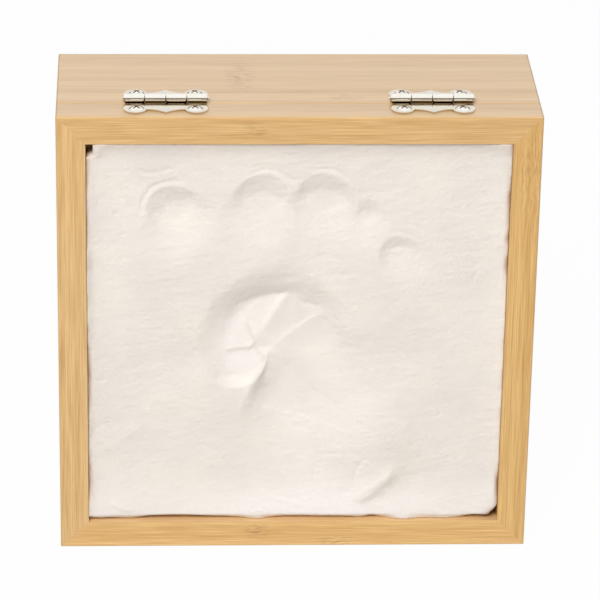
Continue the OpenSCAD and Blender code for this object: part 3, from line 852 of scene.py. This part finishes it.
def stain_and_shade_share(px, pz, half):
    """Brown where the plaster took up colour from the wood, and painted shade along the rails, in the lower
    lost corner and in the creases.
    """
    patches = 0.5 + wave(px, pz, **PATCHES)
    broken = np.clip(slit_depth(pz, RIGHT_SLITS), 0.0, 1.0)
    # Left edge: a stain and the left rail's painted shade
    share = LEFT_STAIN_AND_SHADE * patches * at_edge(px + half, LEFT_STAIN_AND_SHADE_RUN)
    # Right edge: a stain and painted shade in its breaks
    share += RIGHT_STAIN_AND_SHADE * broken * at_edge(half - px, RIGHT_STAIN_AND_SHADE_RUN)
    # Painted shade of the top rail along the top edge
    share += TOP_SHADE * at_edge(half - pz, TOP_SHADE_RUN)
    # Painted shadow in the lower right corner, where the plaster broke away
    share += swell(px, pz, half, -half, **LOW_CORNER_SHADE)
    share += swell(px, pz, half, half, **HIGH_CORNER_STAIN) * patches
    # Painted shade in the creases of the star of folds
    star = np.zeros(px.shape)
    for line in (STAR_UP, STAR_LEFT, STAR_DOWN):
        d, along = beside(px, pz, line)
        star = np.maximum(star, STAR_SHADE * bell(d / STAR_SHADE_WIDTH) * fade_ends(along, STAR_SHADE_FADE))
    return np.clip(share + star, 0.0, 1.0)


def point_values(mesh, name, values):
    """Keeps a share for each point of the front; the sides and back have none."""
    padded = np.zeros(len(mesh.vertices), np.float32)
    padded[:values.size] = values.ravel()
    mesh.attributes.new(name, "FLOAT", "POINT").data.foreach_set("value", padded)


def slab_front(x, z, half, face_y, middle_z):
    """Points of the slab's front in metres, row by row."""
    height = relief(x, z, half) - edge_drop(x, z, half)
    pulled = x
    for corner in LOST_CORNERS:
        pulled = pull_corner(pulled, z, half, **corner)
    return np.stack([pulled * MM, face_y - height * MM, z * MM + middle_z], -1).reshape(-1, 3)


def plaster_slab():
    """The slab as one closed mesh: a fine height field in front, straight sides and a flat back."""
    _, slab_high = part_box("plaster_imprint")
    rail_low, rail_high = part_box("lid_left_rail")
    half = -rail_high.x / MM - RAIL_GAP
    line = np.linspace(-half, half, GRID + 1)
    x, z = np.meshgrid(line, line)
    front = slab_front(x, z, half, rail_low.y + FACE_RECESS * MM, 0.5 * (rail_high.z + rail_low.z))
    index = np.arange(x.size).reshape(x.shape)
    quads = np.stack([index[:-1, :-1], index[:-1, 1:], index[1:, 1:], index[1:, :-1]], -1).reshape(-1, 4)
    rim = np.concatenate([index[0, :-1], index[:-1, -1], index[-1, :0:-1], index[:0:-1, 0]])
    back = front[rim].copy()
    back[:, 1] = slab_high.y
    back_rim = np.arange(x.size, x.size + len(rim))
    skirt = np.stack([rim, back_rim, np.roll(back_rim, -1), np.roll(rim, -1)], -1)
    faces = [*quads.tolist(), *skirt.tolist(), back_rim[::-1].tolist()]
    mesh = bpy.data.meshes.new("plaster_slab")
    mesh.from_pydata(np.vstack([front, back]).tolist(), [], faces)
    mesh.validate()
    point_values(mesh, "stain_and_shade", stain_and_shade_share(x, z, half))
    point_values(mesh, "pressed", pressed_share(x, z))
    mesh.shade_smooth()
    mesh.materials.append(plaster_material())
    piece = bpy.data.objects.new("plaster_slab", mesh)
    scene.collection.objects.link(piece)
    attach(piece, "lid")
    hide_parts("plaster_imprint")


plaster_slab()


# CAD nodes: each keeps its shape and gets its material, and metal ones a line of light along their edges
SOFT_ANGLE = 40.0
SOFT_SEGMENTS = 2
LEAF_SOFT = 0.15 * MM
SCREW_SOFT = 0.08 * MM
MAGNET_SOFT = 0.15 * MM


def dress(name, material):
    data = nodes[name].data
    data.materials.clear()
    data.materials.append(material)


def soften(name, width):
    """Breaks a node's sharp edges."""
    bevel = nodes[name].modifiers.new("soft_edges", "BEVEL")
    bevel.width = width
    bevel.segments = SOFT_SEGMENTS
    bevel.limit_method = "ANGLE"
    bevel.angle_limit = math.radians(SOFT_ANGLE)
    bevel.use_clamp_overlap = True


# Boards, rails and panels: centres and reaches in millimetres
RIGHT_SWAY = dict(centre=(81.0, -29.2, 146.0), reach=(9.0, 20.0, 40.0), scale=105.0, shift=4.2)
WOODS = dict(
    body_top_board=dict(grain="x", seed=1.0, marks=(
        dict(centre=(-19.5, 8.0, 165.0), reach=(6.5, 18.0, 3.0), strength=0.55),
        dict(centre=(16.0, -12.0, 165.0), reach=(8.0, 4.0, 3.0), strength=0.40),
    )),
    body_bottom_board=dict(grain="x", seed=2.0, marks=(
        dict(centre=(30.0, 0.0, 0.0), reach=(5.0, 18.0, 3.0), strength=0.6),
    )),
    body_left_board=dict(grain="z", seed=3.0, marks=(
        dict(centre=(-82.5, 6.0, 60.0), reach=(3.0, 18.0, 5.0), strength=0.6),
    )),
    body_right_board=dict(grain="z", seed=4.0, marks=(
        dict(centre=(82.5, 4.0, 105.0), reach=(3.0, 18.0, 5.0), strength=0.6),
    )),
    lid_top_rail=dict(grain="x", seed=5.0, eased=True, marks=(
        dict(centre=(-14.0, -29.2, 160.0), reach=(8.0, 3.0, 5.0), strength=0.42),
    )),
    lid_bottom_rail=dict(grain="x", seed=6.0, pale=LOWER_PALE, deep=LOWER_DEEP, marks=(
        dict(centre=(-13.0, -29.2, 6.0), reach=(6.0, 3.0, 4.0), strength=0.6),
        dict(centre=(15.0, -29.2, 2.0), reach=(9.0, 3.0, 3.0), strength=0.5),
    )),
    lid_left_rail=dict(grain="z", seed=17.0),
    lid_right_rail=dict(grain="z", seed=8.0, pale=GOLD_PALE, deep=GOLD_DEEP, sway=RIGHT_SWAY, marks=(
        dict(centre=(79.0, -29.2, 148.0), reach=(6.0, 3.0, 24.0), strength=0.34),
    )),
    back_panel=dict(grain="x", seed=21.0, pale=PANEL_PALE, deep=PANEL_DEEP),
    lid_backing_panel=dict(grain="x", seed=22.0, pale=PANEL_PALE, deep=PANEL_DEEP),
)
for name, wood in WOODS.items():
    dress(name, bamboo(name, **wood))

HINGE_PARTS = ("rear_leaf", "front_leaf", "pin")
HINGE_NODES = [f"{side}_hinge_{part}" for side in ("left", "right") for part in HINGE_PARTS]
nickel = nickel_material()
METALS = (
    (HINGE_NODES, nickel, LEAF_SOFT),
    (("body_hinge_screws", "lid_hinge_screws"), nickel, SCREW_SOFT),
    (("body_magnets", "lid_magnets"), magnet_material(), MAGNET_SOFT),
)
for names, metal, soft_width in METALS:
    for name in names:
        dress(name, metal)
        soften(name, soft_width)


# Studio: white floor, soft sky, a large lamp above the camera's left and a weak one low behind the box
SKY_LEVEL = 0.30
FLOOR_REACH = 6.0
FLOOR_WHITE = 0.975
FLOOR_GREY = (0.7, 0.7, 0.7, 1.0)
FLOOR_EDGE = (0.9, 0.5)
# Dark room that the nickel mirrors, low in front and on both sides: ranges of a direction's parts
ROOM_DARK = srgb(110, 90, 62)
FRONT_Y = (-0.25, -0.65)
FRONT_X = (0.50, 0.34)
FRONT_FOOT = (-0.10, -0.02)
FRONT_TOP = (0.40, 0.28)
SIDE_INNER = (0.20, 0.30)
SIDE_OUTER = (0.72, 0.56)
SIDE_TOP = (0.39, 0.29)
BACK_LEVEL = 0.86
BACK_TOP = (0.30, 0.75)
# Lamps: places and sizes in metres, power in watts
LAMP_AIM = (0.0, 0.0, 0.08)
KEY_LAMP = dict(place=(-0.42, -1.44, 1.46), size=0.9, power=33.1)
BACK_LAMP = dict(place=(0.35, 1.60, 0.26), size=1.0, power=9.0)


def seen_rays(tree):
    """Two shares: 1 for rays straight from the camera, and 1 for rays that come by way of gloss or glass."""
    paths = tree.add("ShaderNodeLightPath").outputs
    mirrored = tree.maths("MAXIMUM", paths["Is Glossy Ray"], paths["Is Transmission Ray"])
    return paths["Is Camera Ray"], mirrored


def floor_material():
    """Matte for the light, white to the camera, and white to mirrors near the box."""
    material, tree = new_material("white_floor")
    tree.tree.nodes.remove(tree.tree.nodes["Principled BSDF"])
    direct, mirrored = seen_rays(tree)
    far = tree.vector("LENGTH", tree.add("ShaderNodeNewGeometry").outputs["Position"])
    mirrored = tree.times(mirrored, tree.spread(far, *FLOOR_EDGE))
    share = tree.times(tree.maths("MAXIMUM", direct, mirrored), FLOOR_WHITE)
    matte = tree.add("ShaderNodeBsdfDiffuse", {"Color": FLOOR_GREY})
    white = tree.add("ShaderNodeEmission", {"Color": WHITE, "Strength": 1.0})
    both = tree.add("ShaderNodeMixShader", {0: share, 1: matte.outputs[0], 2: white.outputs[0]})
    tree.fill(tree.tree.nodes["Material Output"], {"Surface": both.outputs[0]})
    return material


def white_floor():
    corners = [(x * FLOOR_REACH, y * FLOOR_REACH, 0.0) for x, y in ((-1, -1), (1, -1), (1, 1), (-1, 1))]
    mesh = bpy.data.meshes.new("floor")
    mesh.from_pydata(corners, [], [(0, 1, 2, 3)])
    mesh.materials.append(floor_material())
    floor = bpy.data.objects.new("floor", mesh)
    scene.collection.objects.link(floor)


def studio_sky():
    """White to the camera, soft light for the object, and a partly dark room for its mirrors."""
    world = bpy.data.worlds.new("studio")
    scene.world = world
    world.use_nodes = True
    tree = Tree(world.node_tree)
    direct, mirrored = seen_rays(tree)
    parts = tree.split(tree.add("ShaderNodeTexCoord").outputs["Generated"])
    off_middle = tree.maths("ABSOLUTE", parts["X"])
    front = tree.times(tree.spread(parts["Y"], *FRONT_Y), tree.spread(off_middle, *FRONT_X))
    low = tree.times(tree.spread(parts["Z"], *FRONT_FOOT), tree.spread(parts["Z"], *FRONT_TOP))
    side = tree.times(tree.spread(off_middle, *SIDE_INNER), tree.spread(off_middle, *SIDE_OUTER))
    side = tree.times(side, tree.spread(parts["Z"], *SIDE_TOP))
    dark = tree.maths("MAXIMUM", tree.times(front, low), side)
    back = tree.spread(parts["Z"], *BACK_TOP, BACK_LEVEL, 1.0)
    room = tree.add("ShaderNodeMix", {0: dark, 2: back, 3: 1.0}).outputs[0]
    colour = tree.mix(tree.times(mirrored, dark), WHITE, ROOM_DARK)
    level = tree.maths("ADD", direct, tree.times(mirrored, room))
    other = tree.maths("SUBTRACT", 1.0, tree.maths("MAXIMUM", direct, mirrored))
    level = tree.maths("ADD", level, tree.times(other, SKY_LEVEL))
    tree.fill(world.node_tree.nodes["Background"], {"Color": colour, "Strength": level})


def soft_lamp(name, place, size, power):
    """A round lamp aimed at the middle of the box, which its mirrors and the camera don't show."""
    data = bpy.data.lights.new(name, "AREA")
    data.shape = "DISK"
    data.size = size
    data.energy = power
    lamp = bpy.data.objects.new(name, data)
    scene.collection.objects.link(lamp)
    lamp.location = place
    lamp.visible_glossy = False
    lamp.visible_camera = False
    lamp.rotation_euler = (Vector(LAMP_AIM) - Vector(place)).to_track_quat("-Z", "Y").to_euler()


white_floor()
studio_sky()
soft_lamp("key", **KEY_LAMP)
soft_lamp("back_fill", **BACK_LAMP)

# Camera, fitted to the box's edges in the photograph: metres, degrees and millimetres of lens and sensor
CAMERA_PLACE = (-0.05312, -1.15545, 0.62838)
CAMERA_YAW = 2.748
CAMERA_PITCH = 25.241
CAMERA_ROLL = 1.0456
CAMERA_LENS = 216.88
CAMERA_SENSOR = 36.0


def photo_camera():
    data = bpy.data.cameras.new("camera")
    data.lens = CAMERA_LENS
    data.sensor_width = CAMERA_SENSOR
    camera = bpy.data.objects.new("camera", data)
    scene.collection.objects.link(camera)
    yaw = math.radians(CAMERA_YAW)
    pitch = math.radians(CAMERA_PITCH)
    forward = Vector((math.sin(yaw) * math.cos(pitch), math.cos(yaw) * math.cos(pitch), -math.sin(pitch)))
    level = Vector((math.cos(yaw), -math.sin(yaw), 0.0))
    right = Matrix.Rotation(math.radians(-CAMERA_ROLL), 3, forward) @ level
    turn = Matrix((right, right.cross(forward), -forward)).transposed()
    camera.matrix_world = Matrix.Translation(CAMERA_PLACE) @ turn.to_4x4()
    scene.camera = camera


photo_camera()
scene.view_settings.view_transform = "Standard"
